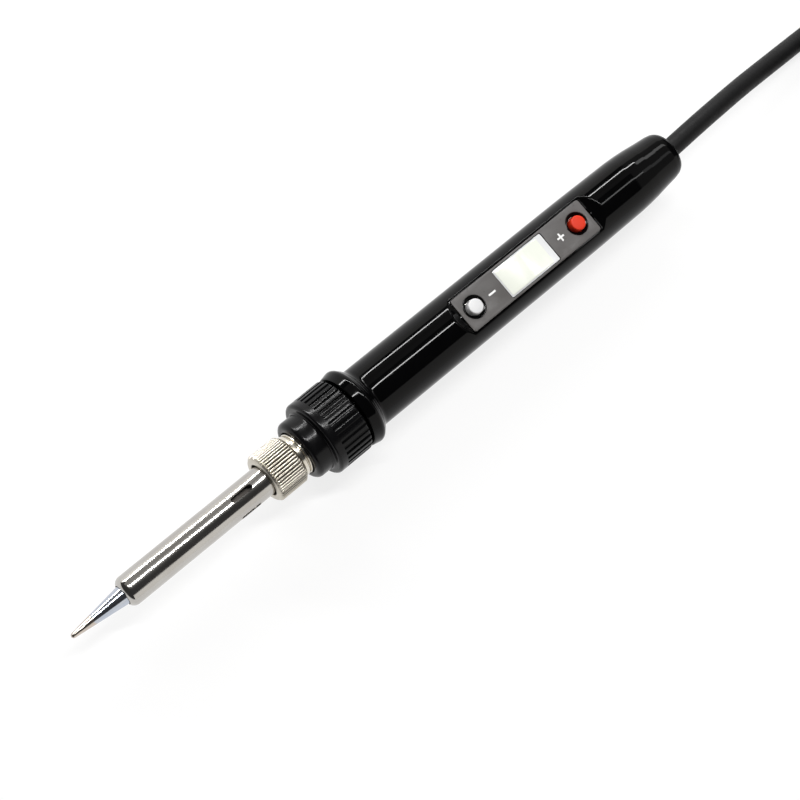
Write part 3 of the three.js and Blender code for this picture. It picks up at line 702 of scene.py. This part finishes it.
HANK_MIDDLE = (NEAR_BEND + FAR_BEND) / 2
WAIST = 3.0  # half the distance between the two runs at the tie
TIE_THICK = 1.0


def row_point(x, y, z):
    """A point of the row frame given in millimetres."""
    return Vector((x, y, z)) * MM


def hank_points():
    """Turn after turn of the hank, each lying on the one before."""
    points = []
    straight, bend = 14, 10

    def run(x, side, layer):
        off = abs(x - HANK_MIDDLE)
        half = WAIST + (FOLD - WAIST) * smooth((off - 6) / 44)
        lift = (TIE_THICK + 0.05) * (1 - smooth((off - 7) / 26))
        points.append((x, HANK_Y + side * half, CORD_RADIUS * (1 + 2 * layer) + lift))

    for layer in range(TURNS):
        height = CORD_RADIUS * (1 + 2 * layer)
        goal = LAST_STRETCH[0][2] if layer == TURNS - 1 else height + 2 * CORD_RADIUS
        for i in range(straight + 1):
            run(NEAR_BEND + (FAR_BEND - NEAR_BEND) * i / straight, 1, layer)
        for i in range(1, bend):
            turn = math.pi / 2 - math.pi * i / bend
            points.append((FAR_BEND + FOLD * math.cos(turn), HANK_Y + FOLD * math.sin(turn), height))
        for i in range(straight + 1):
            run(FAR_BEND - (FAR_BEND - NEAR_BEND) * i / straight, -1, layer)
        for i in range(1, bend):
            turn = -math.pi / 2 - math.pi * i / bend
            rise = (goal - height) * smooth(i / bend * 1.2)
            points.append((NEAR_BEND + FOLD * math.cos(turn), HANK_Y + FOLD * math.sin(turn), height + rise))
    return points


def make_cord():
    """The lead from the handle's tail through the hank to the plug's boot, one round cord."""
    route = [(EXIT, 0, AXIS_Z / MM)] + LEAD_IN + hank_points() + LAST_STRETCH
    curve = bpy.data.curves.new("cord", "CURVE")
    curve.dimensions = "3D"
    curve.bevel_depth = CORD_RADIUS * MM
    curve.bevel_resolution = 5
    curve.resolution_u = 5
    curve.use_fill_caps = True
    spline = curve.splines.new("BEZIER")
    spline.bezier_points.add(len(route) - 1)
    for point, place in zip(spline.bezier_points, route):
        point.co = row_point(*place)
        point.handle_left_type = point.handle_right_type = "AUTO"
    cord = bpy.data.objects.new("cord", curve)
    bpy.context.collection.objects.link(cord)
    curve.materials.append(MATERIALS["black_rubber"])
    return stand_for(cord, "cord_lead_in", "cord_hank", "cord_end")


def swept_band(name, loop, front, end, thick, material, edge=0.3):
    """A band between two row x's that follows an open or closed loop of (y, z) points."""
    count = len(loop)
    verts, faces = [], []
    across = rounded([(front, 0, edge), (end, 0, edge), (end, thick, edge), (front, thick, edge)], True, 2)
    for i, (y, z) in enumerate(loop):
        before, after = loop[i - 1], loop[(i + 1) % count]
        along = Vector((after[0] - before[0], after[1] - before[1])).normalized()
        out = Vector((along.y, -along.x))
        verts += [row_point(x, y + out.x * t, z + out.y * t) for x, t in across]
    ring = len(across)
    for i in range(count):
        for j in range(ring):
            a, b = i * ring + j, i * ring + (j + 1) % ring
            c, d = (i + 1) % count * ring + (j + 1) % ring, (i + 1) % count * ring + j
            faces.append((a, b, c, d))
    return show(name, verts, faces, material, 60)


def make_tie():
    """Strap round the pinched waist, pressed out a little by each layer, and its overlapping end."""
    low, high = (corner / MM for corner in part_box("hank_tie"))
    half = WAIST + CORD_RADIUS + 0.2
    bottom, top, corner = TIE_THICK, high.z - TIE_THICK - 0.9, 2.2
    outline = rounded([(-half, bottom, corner), (half, bottom, corner), (half, top, corner),
                       (-half, top, corner)], True, 8)
    loop = []
    for i, (y, z) in enumerate(outline):
        following = outline[(i + 1) % len(outline)]
        parts = max(1, round(math.dist((y, z), following) / 0.8))
        for k in range(parts):
            here = Vector((y, z)).lerp(Vector(following), k / parts)
            layer = (here.y - TIE_THICK - CORD_RADIUS) / (2 * CORD_RADIUS)
            bulge = 0.16 * math.cos(2 * math.pi * layer) * smooth((abs(here.x) - half + 1) / 1)
            loop.append((HANK_Y + here.x + math.copysign(bulge, here.x), here.y))
    strap = swept_band("tie", loop, low.x, high.x, TIE_THICK - 0.05, MATERIALS["woven_strap"])
    stand_for(strap, "hank_tie")
    side = HANK_Y + half + TIE_THICK + 0.2
    flap = [(side, 9 + 0.8 * i) for i in range(17)]
    flap += [(side + 0.05, z) for _, z in reversed(flap)]
    end = swept_band("tie_end", flap, low.x + 0.4, high.x - 0.4, 0.8, MATERIALS["woven_strap"])
    ride_on(end, "handle")
    return [strap, end]


def lofted(name, rings, material, angle=40):
    """A closed solid through rings of points, with flat ends."""
    count = len(rings[0])
    verts = [point for ring in rings for point in ring]
    faces = [tuple(range(count)), tuple(range(len(verts) - count, len(verts)))]
    for i in range(len(rings) - 1):
        for j in range(count):
            a, b = i * count + j, i * count + (j + 1) % count
            faces.append((a, b, b + count, a + count))
    return show(name, verts, faces, material, angle)


def make_plug():
    """Two-pin plug: a rounded body with grooved finger grips, a ribbed boot and sleeved pins."""
    low, high = (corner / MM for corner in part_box("plug_body"))
    y, z = (low.y + high.y) / 2, (low.z + high.z) / 2
    wide, thick = (high.y - low.y) / 2, (high.z - low.z) / 2
    stations = sorted({0, 0.4, 1, 31.2, 31.7, 32} | {1.5 + 0.5 * i for i in range(60)})
    rings = []
    for s in stations:
        flare = smooth(s / 15)
        grip = 0.55 * max(0, math.sin(math.pi * (s - 15) / 2)) ** 0.6 if 15 < s < 25 else 0
        edge = 0.9 * (1 - math.sqrt(max(0, 1 - max(0, (s - 31) / 1.0) ** 2)))
        start = 0.5 * max(0, 1 - s / 1) ** 2
        half_width = 6.2 + (wide - 6.2) * flare - grip - edge - start
        half_thick = 5.7 + (thick - 5.7) * flare - edge - start
        ring = []
        for i in range(64):
            turn = 2 * math.pi * i / 64
            across, up = math.cos(turn), math.sin(turn)
            power = 2 / (2.4 + 1.8 * flare)
            ring.append(row_point(low.x + s, y + half_width * math.copysign(abs(across) ** power, across),
                                  z + half_thick * math.copysign(abs(up) ** power, up)))
        rings.append(ring)
    body = stand_for(lofted("plug", rings, MATERIALS["black_rubber"]), "plug_body")

    front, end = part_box("plug_boot")[0].x / MM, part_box("plug_boot")[1].x / MM
    section = [(front, 0), (front, 2.9), (front + 0.3, 3.25)]
    ribs = 6
    for i in range(ribs):
        s = front + 1 + 2.3 * i
        r = 3.4 + 2 * (s - front) / (end - front)
        section += [(s, r), (s + 1.3, r + 0.15), (s + 1.45, r - 0.55), (s + 2.05, r - 0.5),
                    (s + 2.2, r + 0.15)]
    section += [(end - 0.3, 5.4), (end, 5.2), (end, 0)]
    boot = turned("boot", section, MATERIALS["black_rubber"], 64, centre=row_point(0, y, z), angle=50)
    stand_for(boot, "plug_boot")

    pieces = [body, boot]
    for side in ("left", "right"):
        pin_low, pin_high = (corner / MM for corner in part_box("plug_pin_" + side))
        r, pin_y = (pin_high.z - pin_low.z) / 2, (pin_low.y + pin_high.y) / 2
        centre = row_point(0, pin_y, z)
        section = [(pin_low.x, 0), (pin_low.x, r)] + arc(pin_high.x - r, 0, r, 90, 0, 8)
        pin = turned("pin_" + side, section, MATERIALS["nickel"], 48, centre=centre)
        pieces.append(stand_for(pin, "plug_pin_" + side))
        collar = rounded([(high.x - 1, r + 0.02), (high.x - 1, r + 0.35), (high.x + 0.5, r + 0.35, 0.3),
                          (high.x + 9.5, r + 0.12, 0.1), (high.x + 9.5, r + 0.02)])
        sleeve = turned("pin_sleeve_" + side, collar, MATERIALS["black_rubber"], 48, True, centre=centre)
        pieces.append(ride_on(sleeve, "handle"))
    return pieces


# ---------------------------------------------------------------- stage and light


def glowing(name, colour, strength):
    material = bpy.data.materials.new(name)
    material.use_nodes = True
    tree = material.node_tree
    tree.nodes.clear()
    glow = tree.nodes.new("ShaderNodeEmission")
    glow.inputs["Color"].default_value = (*colour, 1)
    glow.inputs["Strength"].default_value = strength
    output = tree.nodes.new("ShaderNodeOutputMaterial")
    tree.links.new(glow.outputs["Emission"], output.inputs["Surface"])
    return material


BEARINGS_AT = 0.3  # row x where the bearings of a light that lies askew are stated


def light_card(name, start, end, distance, strength, colour=(1, 1, 1), front=-0.9, back=1.3, drift=0):
    """A long card above the iron between two bearings, in degrees from overhead towards +Y. With a
    drift the card lies askew: its bearings hold at BEARINGS_AT and fall by drift for each metre behind."""
    across, along = max(1, round(abs(end - start) / 5)), 10 if drift else 1
    verts, faces = [], []
    for i in range(across + 1):
        for k in range(along + 1):
            x = front + (back - front) * k / along
            bearing = math.radians(start + (end - start) * i / across - drift * (x - BEARINGS_AT))
            verts.append(at(0) * Vector((0, 1, 1)) + Vector((x, math.sin(bearing) * distance,
                                                              math.cos(bearing) * distance)))
    row = along + 1
    for i in range(across):
        for k in range(along):
            corner = i * row + k
            faces.append((corner, corner + 1, corner + row + 1, corner + row))
    mesh = bpy.data.meshes.new(name)
    mesh.from_pydata(verts, [], faces)
    card = bpy.data.objects.new(name, mesh)
    bpy.context.collection.objects.link(card)
    mesh.materials.append(glowing(name, colour, strength))
    card.visible_camera = False
    card.visible_shadow = False


def make_stage():
    """A pale floor in a light tent: broad soft cards, and two narrow bright tubes over the iron, each
    with a dimmer glow behind its end."""
    material, _, shader, _ = tree_of("pale_floor")
    shader.inputs["Base Color"].default_value = (0.22, 0.22, 0.22, 1)
    shader.inputs["Roughness"].default_value = 0.9
    shader.inputs["Specular IOR Level"].default_value = 0.0
    shader.inputs["Emission Color"].default_value = (1, 1, 1, 1)
    shader.inputs["Emission Strength"].default_value = 0.80
    bpy.ops.mesh.primitive_plane_add(size=12, location=(0, 0, -0.0002))
    floor = bpy.context.object
    floor.name = "floor"
    floor.data.materials.append(material)

    warm = (1.0, 0.985, 0.955)
    light_card("near_tube", 6.4, 9.0, 0.85, 62, front=-0.2, back=0.4, drift=30)
    light_card("near_tube_end", 5.5, 9.5, 0.85, 9, front=0.5, back=0.72, drift=30)
    light_card("far_tube", 58.9, 61.6, 0.85, 60, front=-0.2, back=0.72, drift=30)
    light_card("near_tube_glow", 3, 15, 0.85, 1.8, front=0.72, back=1.1, drift=30)
    light_card("far_tube_glow", 48, 61, 0.85, 5, front=0.72, back=1.1, drift=30)
    light_card("rear_panel", -51, 71, 0.95, 0.4, warm, front=0.72)
    light_card("middle_panel", 22, 54, 0.9, 0.36, warm, front=-0.45)
    light_card("middle_band", 35, 46, 0.88, 0.3, warm, front=-0.45)
    light_card("left_wall", 71, 90, 0.9, 1.15, warm, front=-0.45)
    light_card("right_wall", -51, -90, 0.9, 1.0, warm, front=-0.45)

    world = bpy.data.worlds.new("studio")
    bpy.context.scene.world = world
    world.use_nodes = True
    tree = world.node_tree
    shown = tree.nodes["Background"]
    shown.inputs["Color"].default_value = (1, 1, 1, 1)
    dim = tree.nodes.new("ShaderNodeBackground")
    dim.inputs["Color"].default_value = (1, 1, 1, 1)
    dim.inputs["Strength"].default_value = 0.05
    ray = tree.nodes.new("ShaderNodeLightPath")
    mix = tree.nodes.new("ShaderNodeMixShader")
    tree.links.new(ray.outputs["Is Camera Ray"], mix.inputs["Fac"])
    tree.links.new(dim.outputs["Background"], mix.inputs[1])
    tree.links.new(shown.outputs["Background"], mix.inputs[2])
    tree.links.new(mix.outputs["Shader"], tree.nodes["World Output"].inputs["Surface"])
    bpy.context.scene.view_settings.view_transform = "Standard"


# ---------------------------------------------------------------- build

cord = make_cord()
on_cord = make_tie() + make_plug()
make_tip()
make_barrel()
make_nut()
make_ferrule()
make_collar()
make_handle()
make_relief()
make_panel()
make_marks()
make_display()
for sign in BUTTONS:
    make_well(sign)
    make_button(sign)
for node, thing in frame["nodes"].items():
    if not thing.hide_render:
        thing.data.materials.clear()
        thing.data.materials.append(MATERIALS[SLOT_OF[node]])
make_stage()
